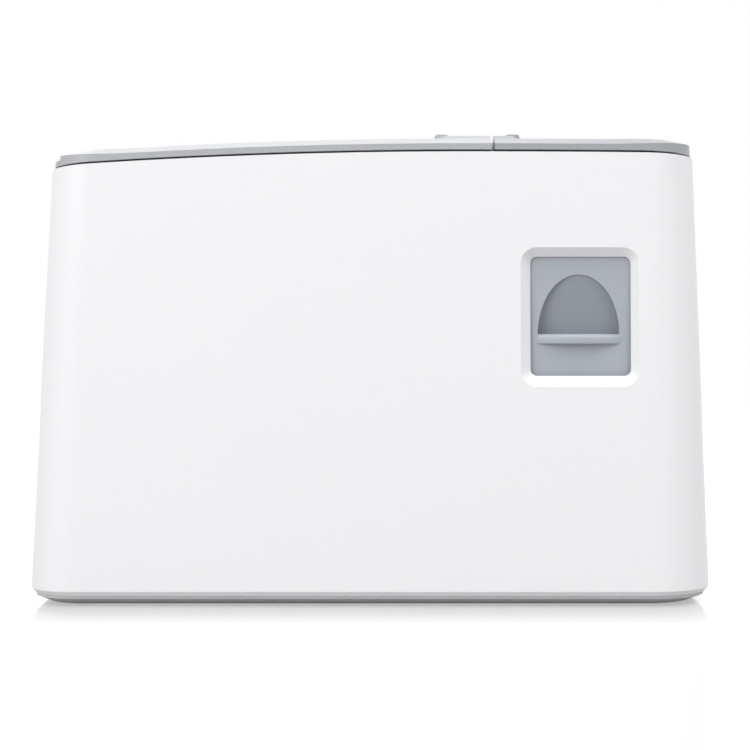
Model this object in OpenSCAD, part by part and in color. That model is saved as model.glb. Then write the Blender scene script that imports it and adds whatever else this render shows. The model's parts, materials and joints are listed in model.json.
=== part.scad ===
// Desktop thermal printer for wide labels, with a clamshell roll cover.
// The front faces -Y, the width lies along X and the rubber feet stand on z = 0.

/* [Case] */
// Width across the foot of the case
case_w = 170; // [164:1:210]
// Depth between the middles of the front and rear walls
case_d = 220; // [216:1:270]
// Height of the highest point of the joint between case and covers
seam_top = 142.2; // [138:0.1:175]
// Thickness of the case wall
wall = 2.5; // [2:0.1:3]
// Lean of the side walls in degrees
side_lean = 1.5; // [0.5:0.1:1.6]
// Lean of the rear wall in degrees
rear_lean = 2.6; // [1:0.1:3]
// Lean of the front wall in degrees
front_lean = 2; // [1:0.1:3]
// Radius of the rear corners in plan
rear_corner = 14; // [8:1:22]
// Radius of the front corners in plan
front_corner = 19; // [8:1:26]
// How far the front and rear walls bow out between their corners
bow = 2.5; // [0:0.1:4]

/* [Covers] */
// Height of the cover's edge band and roof above the joint
cover_rise = 4.75; // [4:0.05:6]
// Thickness of the cover roof
roof = 2.4; // [2:0.1:3]
// Width of the sloped shoulder along each long side
shoulder_w = 5; // [3:0.5:7]
// Height of that shoulder
shoulder_h = 2.2; // [1:0.1:3]
// Gap of the joint between case and covers
seam_gap = 0.4; // [0.3:0.05:0.6]
// Height of the raised collar around the label exit
collar_h = 1.2; // [0.6:0.1:1.8]
// Depth of the label mouth
mouth = 4.8; // [4.4:0.1:8]

/* [Label roll] */
// Width of the widest label roll
roll_w = 102; // [60:1:103]
// Diameter of a full roll
roll_d = 76; // [50:1:78]
// Diameter of the spool core
core_d = 25; // [20:1:40]

/* [Feed] */
// Diameter of the rubber platen
platen_d = 15; // [12:0.5:16]
// Module of the feed gears
gear_module = 0.8; // [0.7:0.05:0.8]
// Teeth on the platen gear
platen_teeth = 16; // [14:1:16]
// Teeth on the idler gear
idler_teeth = 30; // [28:1:32]
// Teeth on the motor pinion
pinion_teeth = 12; // [10:1:14]

/* [Levers] */
// Width of the opening that shows the release lever
window_w = 31.2; // [24:0.2:34]
// Height of that opening
window_h = 37.1; // [30:0.1:40]
// Upward travel of the release lever
lever_travel = 5; // [3:0.5:5]

/* [Hidden] */
$fn = 64;

foot_h = 0.5;            // rubber feet below the tray
skirt_z = 4.4;           // lower edge of the case wall
lean_z = 5.5;            // the walls lean in from this height
crest_y = -30;           // where the joint is highest
rear_crown = 1826;       // radius of the joint behind its crest
front_crown = 5200;      // radius of the joint in front of it
cover_inset = 0.6;       // the covers sit this far inside the case walls
tray_top = 4.3;
floor_t = 2.5;

function seam_z(y) = seam_top - pow(y - crest_y, 2) / (2 * (y > crest_y ? rear_crown : front_crown));
function roof_z(y) = seam_z(y) + cover_rise;
function half_w(z) = case_w / 2 - tan(side_lean) * (z - lean_z);
function rear_y(z) = case_d / 2 - tan(rear_lean) * (z - lean_z);
function front_y(z) = tan(front_lean) * (z - lean_z) - case_d / 2;
function bow_at(x, z) = bow * pow(x / half_w(z), 2);

split_y = crest_y - 8.3;             // middle of the gap between the two covers
split_gap = 1;
hinge_y = rear_y(seam_top) - 5.4;
hinge_z = seam_z(hinge_y) + 1.2;
pin_r = 1;
run = 0.05;                          // radial running clearance

label_y = split_y + 0.3;             // plane in which the label leaves
platen_r = platen_d / 2;
platen_y = label_y + platen_r;
platen_z = seam_top - 12.2;
bush_r = 5;
shaft_r = 3;

plate_t = 1.5;
ear_in = 53.6;                       // inner faces of the cover's ears
ear_t = 3;
plate_in = ear_in + ear_t + 1.4;     // inner faces of the steel side plates
frame_screw_ys = [-10, 50];
liner_screw_ys = [-15, 30, 75];
board_screw_xs = [-58, 58];
board_screw_ys = [-87, -67];
standoff_xs = [-36, 36];
standoff_ys = [18, 80];
latch_in = plate_in + plate_t + 1;
latch_t = 2.5;
gear_in = latch_in + latch_t + 1;
gear_t = 5;

roll_y = 32;
roll_z = 81;
trough_r = 44;
trough_t = 2.5;
cheek_in = 55.5;
guide_y = roll_y - sqrt(pow(trough_r, 2) - 400) - 1.4;
guide_z = roll_z + 20.1;

platen_gear_r = gear_module * platen_teeth / 2;
idler_r = gear_module * idler_teeth / 2;
pinion_r = gear_module * pinion_teeth / 2;
mesh_gap = 0.15;
lift_dy = (hinge_z - platen_z) / (platen_y - hinge_y);   // slope of the platen's first lift
idler_y = platen_y - lift_dy * (platen_gear_r + idler_r);
idler_z = platen_z - sqrt(pow(platen_gear_r + idler_r + mesh_gap, 2) - pow(idler_y - platen_y, 2));
motor_y = idler_y - 2.5;
motor_z = idler_z - sqrt(pow(idler_r + pinion_r + mesh_gap, 2) - pow(motor_y - idler_y, 2));
motor_r = 14;

head_y = label_y - 0.6;              // printing face of the head
head_t = 2;
bracket_t = 5.4;
head_pivot_y = head_y - head_t - 4;
head_pivot_z = platen_z - 22;
cross_y = head_y - head_t - bracket_t - 6;

window_y = split_y - 26.8;
window_z = 90.3;
tile_out = half_w(window_z + window_h / 2 + lever_travel + 2) - wall - 0.3;
tile_t = 4.5;
finger_y = window_y + 15;
finger_z = window_z + 6;
latch_y = window_y - 1;
latch_z = window_z + 12;

boss_x = case_w / 2 - 14;
boss_y = case_d / 2 - 24;
port_z = 23;

// A flat shape drawn in Y and Z, and pushed out along X to a width
module along_x(w, x = 0) {
  translate([x, 0, 0]) rotate([90, 0, 90]) linear_extrude(w, center = true) children();
}

// A disc or rod along X
module rod_x(r, x0, x1, y, z) {
  translate([x0, y, z]) rotate([0, 90, 0]) cylinder(r = r, h = x1 - x0);
}

module box(x0, x1, y0, y1, z0, z1) {
  translate([x0, y0, z0]) cube([x1 - x0, y1 - y0, z1 - z0]);
}

// Both sides of the printer
module each_side() {
  children();
  mirror([1, 0, 0]) children();
}

// Slice of the case outline at one height, a given distance inside its walls
module outline_slice(z, inset) {
  w = half_w(z) - inset;
  front_r = front_corner - inset;
  rear_r = rear_corner - inset;
  yr = rear_y(z) - inset;
  yf = front_y(z) + inset;
  translate([0, 0, z]) linear_extrude(0.01) {
    for (s = [-1, 1]) {
      translate([s * (w - rear_r), yr - rear_r - bow_at(w - rear_r, z)]) circle(rear_r, $fn = 40);
      translate([s * (w - front_r), yf + front_r + bow_at(w - front_r, z)]) circle(front_r, $fn = 40);
    }
    polygon([
      for (i = [-6 : 6]) [i / 6 * (w - rear_r), yr - bow_at(i / 6 * (w - rear_r), z)],
      for (i = [6 : -1 : -6]) [i / 6 * (w - front_r), yf + bow_at(i / 6 * (w - front_r), z)]
    ]);
  }
}

// Tapered block between two heights, with the case outline
module case_block(z0, z1, inset, foot = 0) {
  hull() {
    outline_slice(z0, inset + foot);
    outline_slice(z0 + foot, inset);
    outline_slice(z1, inset);
  }
}

// Region in Y and Z between two curves that follow the joint
module seam_band(y0, y1, low, high) {
  n = 16;
  polygon([
    for (i = [0 : n]) let (y = y0 + (y1 - y0) * i / n) [y, seam_z(y) + low],
    for (i = [n : -1 : 0]) let (y = y0 + (y1 - y0) * i / n) [y, seam_z(y) + high]
  ]);
}

// Envelope of the roll cover's rear edge as it turns on the hinge
module hinge_sweep(gap) {
  z = seam_top;
  w = half_w(z);
  r0 = rear_corner;
  xs = w - r0;
  edge = rear_y(z) - cover_inset - hinge_y;
  corner = rear_y(z) - bow_at(xs, z) - r0 - hinge_y;
  reach = [
    for (i = [0 : 6]) [edge - bow_at(xs * i / 6, z), xs * i / 6],
    for (a = [80 : -10 : 30]) [corner + (r0 - cover_inset) * sin(a), xs + r0 * cos(a)]
  ];
  kept = [for (p = reach) if (p[0] > 0.4) [p[0] + gap, p[1]]];
  tip = kept[len(kept) - 1];
  outline = concat([[0, 0]], kept, [[0, tip[1]]]);
  translate([0, hinge_y, hinge_z]) rotate([0, 90, 0]) each_end() rotate_extrude($fn = 48)
    polygon(outline);
}

module each_end() {
  children();
  mirror([0, 0, 1]) children();
}

// Window for the release lever, with a sloped frame around it
module lever_window() {
  x = half_w(window_z);
  translate([-x, window_y, window_z]) rotate([0, -90, 0]) {
    translate([0, 0, -8]) linear_extrude(10) rounded(window_h, window_w, 2.2);
    hull() {
      translate([0, 0, -wall]) linear_extrude(0.01) rounded(window_h, window_w, 2.2);
      translate([0, 0, 1.2]) linear_extrude(0.01) rounded(window_h + 9.2, window_w + 8.4, 5.5);
    }
  }
}

module rounded(a, b, r) {
  for (s = [-1, 1], t = [-1, 1]) translate([s * (a / 2 - r), t * (b / 2 - r)]) circle(r);
  square([a, b - 2 * r], center = true);
  square([a - 2 * r, b], center = true);
}

// Everything above the joint
module above_seam() {
  along_x(case_w + 40) seam_band(-case_d, case_d, -seam_gap / 2, 60);
}

module below_seam() {
  along_x(case_w + 40) seam_band(-case_d, case_d, -60, seam_gap / 2);
}

module ports_cut(grow) {
  box(-56 - grow, -32 + grow, 90, case_d, port_z - 9 - grow, port_z + 9 + grow);
  box(14 - grow, 27 + grow, 90, case_d, port_z - 7 - grow, port_z + 5 + grow);
  box(28 - grow, 45 + grow, 90, case_d, port_z - 7 - grow, port_z + 7 + grow);
}

module outer_case() color([0.96, 0.96, 0.97]) {
  difference() {
    case_block(skirt_z, seam_top + 6, 0, 1.1);
    difference() {
      case_block(skirt_z - 2, seam_top + 7, wall);
      for (s = [-1, 1], y = [-boss_y, boss_y])
        box(s * boss_x - 3, s * boss_x + 3, y - 3, y + 3, 16, 34);
      for (s = [-1, 1], y = [-boss_y, boss_y])
        box(min(s * boss_x, s * case_w / 2), max(s * boss_x, s * case_w / 2), y - 1, y + 1, 16, 34);
    }
    above_seam();
    each_side() lever_window();
    hinge_sweep(0.35);
    ports_cut(0.3);
    for (s = [-1, 1], y = [-boss_y, boss_y])
      translate([s * boss_x, y, 10]) cylinder(r = 1.3, h = 22);
  }
}

module base_tray() color([0.5, 0.5, 0.51]) {
  difference() {
    hull() {
      outline_slice(foot_h, 5.6);
      outline_slice(tray_top - 0.01, 1.5);
    }
    translate([0, 0, foot_h + floor_t]) linear_extrude(10)
      square([case_w - 16, case_d - 20], center = true);
    for (s = [-1, 1], y = [-boss_y, boss_y]) translate([s * boss_x, y, 0]) {
      cylinder(r = 1.7, h = 10);
      cylinder(r = 3.4, h = foot_h + 1.2);
    }
    for (i = [-4 : 4]) box(i * 9 - 2, i * 9 + 2, -70, -40, 0, 8);
    for (s = [-1, 1], y = frame_screw_ys) translate([s * (plate_in + 8), y, 0.9]) cylinder(r = 1.5, h = 9);
  }
}

module rubber_feet() color([0.16, 0.16, 0.17])
  for (s = [-1, 1], y = [-case_d / 2 + 18, case_d / 2 - 18])
    translate([s * (case_w / 2 - 20), y, 0]) cylinder(r = 7, h = foot_h);

module case_screws() color("silver")
  for (s = [-1, 1], y = [-boss_y, boss_y]) translate([s * boss_x, y, 0]) {
    translate([0, 0, foot_h + 0.2]) cylinder(r = 3, h = 1);
    translate([0, 0, foot_h + 0.2]) cylinder(r = 1.25, h = 28);
  }

// Outer form of a cover between two depths, with its sloped shoulders
module cover_form(y0, y1) {
  difference() {
    intersection() {
      case_block(seam_top - 20, seam_top + 10, cover_inset);
      hull() {
        along_x(case_w) seam_band(y0, y1, -10, cover_rise - shoulder_h);
        along_x(2 * half_w(seam_top) - 2 * shoulder_w) seam_band(y0, y1, -10, cover_rise);
      }
    }
    below_seam();
  }
}

// Hollow under a cover's roof
module cover_hollow(y0, y1) {
  intersection() {
    case_block(seam_top - 21, seam_top + 11, cover_inset + 2);
    along_x(2 * half_w(seam_top) - 2 * shoulder_w - 2)
      seam_band(y0, y1, -12, cover_rise - roof);
  }
}

// Raised rim around the label exit
module collar(y0, y1) {
  rim = 5;
  w = half_w(seam_top) - shoulder_w - 1.5;
  difference() {
    box(-w, w, y0, y1, seam_top, roof_z(crest_y) + collar_h);
    box(-w + rim, w - rim, split_y - 4.5, split_y + 13.3, seam_top, seam_top + 20);
  }
}

module roll_cover() color([0.71, 0.71, 0.72]) {
  front = split_y + split_gap / 2;
  difference() {
    union() {
      cover_form(front, case_d / 2);
      collar(front, split_y + 18.3);
    }
    cover_hollow(front + 2, case_d / 2 - 6);
    box(-roll_w / 2 - 3, roll_w / 2 + 3, front - 1, split_y + mouth, seam_top - 2, seam_top + 20);
    liner_screws();
    difference() {
      box(-case_w, case_w, hinge_y, case_d, seam_top - 20, seam_top + 20);
      hinge_sweep(0);
      box(-case_w, -half_w(seam_top) + 3.5, 0, case_d, 0, seam_top + 20);
      box(half_w(seam_top) - 3.5, case_w, 0, case_d, 0, seam_top + 20);
    }
    each_side() box(ear_in - 0.3, plate_in + plate_t + 0.8, hinge_y - 3.2, hinge_y + 3.2,
      hinge_z - 4, hinge_z + 2.6);
  }
}

module front_cover() color([0.6, 0.6, 0.61]) {
  back = split_y - split_gap / 2;
  difference() {
    union() {
      cover_form(-case_d / 2, back);
      collar(split_y - 9.3, back);
      for (x = board_screw_xs, y = board_screw_ys)
        translate([x, y, seam_top - 11.4]) cylinder(r = 3, h = 14);
    }
    difference() {
      cover_hollow(-case_d / 2 + 6, back - 2);
      for (x = board_screw_xs, y = board_screw_ys)
        translate([x, y, seam_top - 12]) cylinder(r = 3, h = 16);
    }
    for (x = board_screw_xs, y = board_screw_ys)
      translate([x, y, seam_top - 14]) cylinder(r = 1.2, h = 8.4);
    box(-roll_w / 2 - 3, roll_w / 2 + 3, label_y - 1.3, back + 1, seam_top - 2, seam_top + 20);
    each_side() translate([50, -77, seam_top - 10]) cylinder(r = 6.3, h = 30);
    for (x = [-5, 5]) translate([x, -77, seam_top - 2]) cylinder(r = 1.6, h = 20);
  }
}

module tear_bar() color("silver") {
  top = roof_z(split_y) + 0.6;
  translate([0, label_y - 0.6, 0]) rotate([90, 0, 0]) linear_extrude(0.6) polygon([
    [-roll_w / 2 - 1, seam_top - 4],
    [roll_w / 2 + 1, seam_top - 4],
    for (i = [34 : -1 : -34]) [i * 1.5, i % 2 == 0 ? top : top - 1.2]
  ]);
  box(-roll_w / 2 - 1, roll_w / 2 + 1, label_y - 4.7, label_y - 1.2, seam_top - 4, seam_top - 3.4);
}

module button(x) {
  translate([x, -77, 0]) {
    translate([0, 0, seam_top - 6]) cylinder(r = 6, h = roof_z(-77) - seam_top + 6.2);
    translate([0, 0, seam_top - 9]) cylinder(r = 2, h = 4);
  }
}

module power_button() color([0.3, 0.3, 0.31]) button(-50);
module feed_button() color([0.3, 0.3, 0.31]) button(50);

module status_lights() color([0.6, 0.9, 0.6])
  for (x = [-5, 5]) translate([x, -77, seam_top - 11]) cylinder(r = 1.5, h = roof_z(-77) - seam_top + 11);

module control_board() color([0.1, 0.35, 0.2]) {
  difference() {
    union() {
      box(-62, 62, -90, -64, seam_top - 13, seam_top - 11.4);
      for (x = [-50, 50]) box(x - 3.5, x + 3.5, -80.5, -73.5, seam_top - 11.5, seam_top - 10.2);
      box(-20, -8, -68, -65, seam_top - 11.5, seam_top - 9);
    }
    for (x = board_screw_xs, y = board_screw_ys)
      translate([x, y, seam_top - 20]) cylinder(r = 1.3, h = 20);
  }
}

module board_screws() color("silver")
  for (x = board_screw_xs, y = board_screw_ys) translate([x, y, seam_top - 14]) {
    cylinder(r = 2.2, h = 1);
    cylinder(r = 1.2, h = 8.4);
  }

// Dark inner panel of the roll cover, with the ears that hold the platen and the hinge
module cover_liner() color([0.2, 0.2, 0.21]) {
  back = hinge_y - 4;
  liner_top = cover_rise - roof - 0.06;
  difference() {
    union() {
      along_x(2 * (ear_in + ear_t)) seam_band(split_y + mouth + 2.2, back, 0.4, liner_top);
      each_side() {
        along_x(ear_t, ear_in + ear_t / 2)
          seam_band(split_y + mouth + 2.2, back, -6, liner_top);
        box(ear_in, ear_in + ear_t, platen_y - 7, platen_y + 9, platen_z - 1, seam_top);
        rod_x(7, ear_in, ear_in + ear_t, platen_y, platen_z);
        rod_x(2.2, ear_in, ear_in + ear_t, hinge_y, hinge_z);
        box(ear_in, ear_in + ear_t, back - 1, hinge_y, hinge_z - 2.2, hinge_z + 1.5);
      }
    }
    each_side() {
      rod_x(pin_r + run, ear_in - 1, ear_in + ear_t + 1, hinge_y, hinge_z);
      rod_x(bush_r, ear_in - 1, ear_in + ear_t + 1, platen_y, platen_z);
    }
    liner_screws();
  }
}

module liner_screws() color("silver")
  for (x = [-40, 40], y = liner_screw_ys) translate([x, y, seam_z(y) - 0.6]) {
    cylinder(r = 2.5, h = 1.2);
    cylinder(r = 1.25, h = 3.9);
  }

module hinge_pins() color("silver")
  each_side() rod_x(pin_r, ear_in - 0.5, plate_in + plate_t + 0.5, hinge_y, hinge_z);

// Steel side plate that carries the hinge, the platen's seat and the feed gears
module side_plate() {
  z0 = foot_h + floor_t;
  seat_z = platen_z + 1;
  difference() {
    union() {
      along_x(plate_t, plate_in + plate_t / 2) {
        polygon([
          [roll_y + 40, z0], [roll_y + 58, z0], [hinge_y - 8, hinge_z - 16],
          [hinge_y - 0.6, hinge_z - 2.1], [hinge_y - 1.5, hinge_z + 1.6],
          [hinge_y - 12, hinge_z - 4], [roll_y + 46, 112], [roll_y + 40, 100]
        ]);
        polygon([
          [latch_y - 6, z0], [roll_y + 53, z0], [roll_y + 53, 70], [roll_y + 40, 112],
          [platen_y + 16, 112], [platen_y + 9, seat_z], [platen_y - 9, seat_z],
          [head_y - 6, platen_z - 2], [cross_y - 4, platen_z - 2],
          [latch_y + 3, latch_z + 7], [latch_y - 6, latch_z + 7]
        ]);
      }
      rod_x(2.2, plate_in, plate_in + plate_t, hinge_y, hinge_z);
      box(plate_in, plate_in + 12, -20, 60, z0, z0 + plate_t);
    }
    rod_x(bush_r + 0.25, plate_in - 1, plate_in + plate_t + 1, platen_y, platen_z);
    box(plate_in - 1, plate_in + plate_t + 1, platen_y - bush_r - 0.25, platen_y + bush_r + 0.25,
      platen_z, platen_z + 20);
    rod_x(pin_r, plate_in - 1, plate_in + plate_t + 1, hinge_y, hinge_z);
    rod_x(1.5, plate_in - 1, plate_in + plate_t + 1, head_pivot_y, head_pivot_z);
    rod_x(14, plate_in - 1, plate_in + plate_t + 1, roll_y, 46);
    for (y = frame_screw_ys) translate([plate_in + 8, y, 0]) cylinder(r = 1.6, h = 20);
  }
}

module side_plate_right() color("silver") difference() {
  side_plate();
  rod_x(2.5, plate_in - 1, plate_in + plate_t + 1, idler_y, idler_z);
  rod_x(3.5, plate_in - 1, plate_in + plate_t + 1, motor_y, motor_z);
  rod_x(1.5, plate_in - 1, plate_in + plate_t + 1, latch_y, latch_z);
  for (s = [-1, 1])
    rod_x(1.6, plate_in - 1, plate_in + plate_t + 1, motor_y + s * 12, motor_z);
}

module side_plate_left() color("silver") difference() {
  mirror([1, 0, 0]) side_plate();
  rod_x(1.5, -plate_in - plate_t - 1, -plate_in + 1, latch_y, latch_z);
}

module frame_screws() color("silver")
  each_side() for (y = frame_screw_ys) translate([plate_in + 8, y, foot_h + floor_t + plate_t]) {
    cylinder(r = 3, h = 1.6);
    translate([0, 0, -3]) cylinder(r = 1.5, h = 4);
  }

// Steel wall between the side plates, in front of the printing head
module cross_plate() color("silver") {
  difference() {
    box(-plate_in, plate_in, cross_y - 1.5, cross_y, head_pivot_z - 30, platen_z);
    for (x = [-30, 30]) translate([x, cross_y + 1, head_pivot_z - 14]) rotate([90, 0, 0])
      cylinder(r = 8, h = 4);
  }
  box(-plate_in, plate_in, cross_y - 10, cross_y, head_pivot_z - 31.5, head_pivot_z - 30);
}

// Dark trough that the label roll turns in
module inner_frame() color([0.22, 0.22, 0.23]) {
  rim_z = 118;
  difference() {
    union() {
      rod_x(trough_r + trough_t, -cheek_in - 2, cheek_in + 2, roll_y, roll_z);
      box(-cheek_in - 2, cheek_in + 2, roll_y - 30, roll_y + 30, foot_h + floor_t + 22, 60);
      each_side() box(cheek_in - 8, cheek_in + 2, roll_y - 4, roll_y + 4, foot_h + floor_t, 40);
      box(-cheek_in - 2, cheek_in + 2, roll_y + 30, roll_y + trough_r + trough_t, roll_z, rim_z);
    }
    rod_x(trough_r, -cheek_in, cheek_in, roll_y, roll_z);
    box(-cheek_in, cheek_in, roll_y - 39, roll_y + trough_r, roll_z, 200);
    box(-100, 100, roll_y - 60, roll_y + 60, rim_z, 200);
    box(-100, 100, roll_y - 60, roll_y - 20, roll_z + 20, 200);
    each_side() {
      rod_x(4.06, cheek_in - 1, cheek_in + 3, roll_y, roll_z);
      box(cheek_in - 1, cheek_in + 3, roll_y - 4.06, roll_y + 4.06, roll_z, 200);
    }
    for (x = [-30 : 15 : 30])
      box(x - 5, x + 5, roll_y - 26, roll_y + 26, foot_h + floor_t + 20, roll_z - trough_r - 3.5);
  }
}

module label_guide() color([0.22, 0.22, 0.23]) along_x(2 * cheek_in - 4)
  polygon([
    [guide_y, guide_z], [label_y + 4, platen_z - 12],
    [label_y + 4, platen_z - 10], [guide_y, guide_z + 2]
  ]);

module label_sensor() color([0.12, 0.12, 0.13]) {
  box(-6, 6, guide_y - 17, guide_y - 9, guide_z - 1, guide_z + 5.6);
  box(-9, 9, guide_y - 14, guide_y - 12, guide_z, guide_z + 2);
}

// Paper roll wound on the spool core
module label_roll() color([0.95, 0.95, 0.93]) difference() {
  rod_x(roll_d / 2, -roll_w / 2, roll_w / 2, roll_y, roll_z);
  rod_x(core_d / 2, -roll_w / 2 - 1, roll_w / 2 + 1, roll_y, roll_z);
}

module spool_core() color([0.35, 0.35, 0.36]) difference() {
  rod_x(core_d / 2, -roll_w / 2 - 0.3, roll_w / 2 + 0.3, roll_y, roll_z);
  rod_x(core_d / 2 - 2, -roll_w / 2 - 1, roll_w / 2 + 1, roll_y, roll_z);
}

// Flange with a hub in the core and a stub that turns in the trough's cheek
module spool_flange() {
  x0 = roll_w / 2 + 0.3;
  difference() {
    union() {
      rod_x(min(29, roll_d / 2 - 4), x0, x0 + 2.2, roll_y, roll_z);
      rod_x(core_d / 2 - 2.2, x0 - 12, x0, roll_y, roll_z);
      rod_x(4, x0, cheek_in + 1.6, roll_y, roll_z);
    }
    for (a = [0 : 60 : 300]) translate([0, roll_y, roll_z]) rotate([a, 0, 0])
      rod_x(4, x0 - 1, x0 + 3, 20, 0);
  }
}

module spool_flange_right() color([0.35, 0.35, 0.36]) spool_flange();
module spool_flange_left() color([0.35, 0.35, 0.36]) mirror([1, 0, 0]) spool_flange();

module platen_shaft() color("silver")
  rod_x(shaft_r, -gear_in, gear_in + gear_t, platen_y, platen_z);

module platen_roller() color([0.13, 0.13, 0.14]) difference() {
  rod_x(platen_r, -roll_w / 2, roll_w / 2, platen_y, platen_z);
  rod_x(shaft_r, -roll_w, roll_w, platen_y, platen_z);
}

// Bushes that turn the platen in the cover's ears and drop into the side plates
module platen_bushes() color([0.75, 0.7, 0.55]) each_side() difference() {
  rod_x(bush_r, ear_in - 0.6, latch_in + latch_t + 0.4, platen_y, platen_z);
  rod_x(shaft_r + run, ear_in - 2, gear_in, platen_y, platen_z);
}

// Straight-flanked spur gear along X
module spur(teeth, bore, width, phase = 0) {
  pitch = gear_module * teeth / 2;
  half = 90 / teeth;
  root = pitch - 1.2 * gear_module;
  tip = pitch + 0.9 * gear_module;
  rotate([90 , 0, 90]) linear_extrude(width) difference() {
    polygon([
      for (i = [0 : teeth - 1], c = [[root, -1.25], [pitch, -0.88], [tip, -0.42],
                                     [tip, 0.42], [pitch, 0.88], [root, 1.25]])
        let (a = 360 * i / teeth + phase + c[1] * half) [c[0] * cos(a), c[0] * sin(a)]
    ]);
    circle(bore);
  }
}

// Direction from one axis to another in Y and Z
function aim(y0, z0, y1, z1) = atan2(z1 - z0, y1 - y0);
// Phase that puts a gap of this gear opposite a tooth of its neighbour
function gap_phase(teeth, a) = a + 180 / teeth;

down = aim(platen_y, platen_z, idler_y, idler_z);
next = aim(idler_y, idler_z, motor_y, motor_z);
idler_phase = gap_phase(idler_teeth, down + 180);

module platen_gear() color([0.85, 0.83, 0.76])
  translate([gear_in, platen_y, platen_z]) spur(platen_teeth, shaft_r, gear_t, down);

module idler_gear() color([0.85, 0.83, 0.76])
  translate([gear_in, idler_y, idler_z]) spur(idler_teeth, 2.5 + run, gear_t, idler_phase);

// Where the idler's own teeth stand as seen from the pinion
tooth_at = idler_phase - next;
pinion_turn = (tooth_at - round(tooth_at * idler_teeth / 360) * 360 / idler_teeth)
  * idler_teeth / pinion_teeth;

module motor_pinion() color("goldenrod") {
  translate([gear_in, motor_y, motor_z])
    spur(pinion_teeth, 1.5, gear_t, gap_phase(pinion_teeth, next + 180) - pinion_turn);
  rod_x(1.5, plate_in - 4, gear_in + gear_t + 1, motor_y, motor_z);
}

module idler_post() color("silver") {
  rod_x(2.5, plate_in, gear_in + gear_t + 0.6, idler_y, idler_z);
  rod_x(3.4, gear_in + gear_t + 0.3, gear_in + gear_t + 1.2, idler_y, idler_z);
  rod_x(3.4, plate_in + plate_t, gear_in - 0.3, idler_y, idler_z);
}

module feed_motor() color([0.3, 0.3, 0.32]) difference() {
  union() {
    rod_x(motor_r, plate_in - 27, plate_in - 1.2, motor_y, motor_z);
    along_x(1.2, plate_in - 0.6) union() {
      translate([motor_y, motor_z]) square([31, 10], center = true);
      translate([motor_y, motor_z]) circle(10);
    }
  }
  rod_x(1.5 + run, plate_in - 5, plate_in + 1, motor_y, motor_z);
  rod_x(3.4, plate_in - 1.3, plate_in + 1, motor_y, motor_z);
  for (s = [-1, 1]) rod_x(1.5, plate_in - 5, plate_in + 1, motor_y + s * 12, motor_z);
}

module motor_screws() color("silver") for (s = [-1, 1]) {
  rod_x(2.6, plate_in + plate_t, plate_in + plate_t + 1.2, motor_y + s * 12, motor_z);
  rod_x(1.4, plate_in - 4, plate_in + plate_t, motor_y + s * 12, motor_z);
}

module print_head() color([0.85, 0.85, 0.8]) {
  box(-roll_w / 2 - 1, roll_w / 2 + 1, head_y - head_t, head_y - 0.15, platen_z - 7, platen_z + 6);
  box(-roll_w / 2, roll_w / 2, head_y - 0.2, head_y, platen_z - 0.6, platen_z + 0.6);
}

spring_xs = [-34, 0, 34];
spring_z = platen_z - 8;

// Aluminium heat sink that carries the head and rocks on its pivot
module head_bracket() color([0.75, 0.76, 0.78]) {
  w = roll_w / 2 + 1;
  y0 = head_y - head_t;
  difference() {
    union() {
      box(-w, w, y0 - 2.4, y0, head_pivot_z + 3, platen_z + 6);
      for (z = [head_pivot_z + 8 : 4 : platen_z + 4])
        box(-w, w, y0 - bracket_t, y0 - 2.3, z, z + 1.4);
      each_side() {
        rod_x(3.4, w - 6, w, head_pivot_y, head_pivot_z);
        box(w - 6, w, head_pivot_y - 1, y0, head_pivot_z, head_pivot_z + 8);
      }
    }
    rod_x(1.5 + run, -w - 1, w + 1, head_pivot_y, head_pivot_z);
    for (x = spring_xs) box(x - 3.4, x + 3.4, y0 - 9, y0 - 2.6, spring_z - 3.4, spring_z + 3.4);
  }
}

module head_pivot() color("silver")
  rod_x(1.5, -plate_in - plate_t - 0.5, plate_in + plate_t + 0.5, head_pivot_y, head_pivot_z);

// Coil spring along Z, swept along its helix
module coil(r, wire, height, turns) {
  sides = 6;
  rings = turns * 14;
  points = [
    for (i = [0 : rings], j = [0 : sides - 1])
      let (a = 360 * turns * i / rings, b = 360 * j / sides, d = r + wire * cos(b))
        [d * cos(a), d * sin(a), wire + (height - 2 * wire) * i / rings + wire * sin(b)]
  ];
  walls = [
    for (i = [0 : rings - 1], j = [0 : sides - 1])
      let (k = (j + 1) % sides)
        each [
          [i * sides + j, (i + 1) * sides + j, (i + 1) * sides + k],
          [i * sides + j, (i + 1) * sides + k, i * sides + k]
        ]
  ];
  ends = [[for (j = [0 : sides - 1]) j], [for (j = [sides - 1 : -1 : 0]) rings * sides + j]];
  polyhedron(points, concat(walls, ends), convexity = 8);
}

module head_springs() color("silver")
  for (x = spring_xs) translate([x, head_y - head_t - 2.4, spring_z])
    rotate([90, 0, 0]) coil(2.6, 0.35, head_y - head_t - 3.3 - cross_y, 4);

// Flat cable from the head down to the main board
module head_cable() color([0.9, 0.9, 0.88]) along_x(36) {
  t = 0.5;
  top = head_pivot_z + 2.5;
  fall = head_pivot_y - 3.5;
  low = board_top + 6;
  polygon([
    [head_y - 3, top], [fall, top], [fall, low], [15, low], [15, board_top + 3.4],
    [15 + t, board_top + 3.4], [15 + t, low + t], [fall + t, low + t],
    [fall + t, top - t], [head_y - 3, top - t]
  ]);
}

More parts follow.
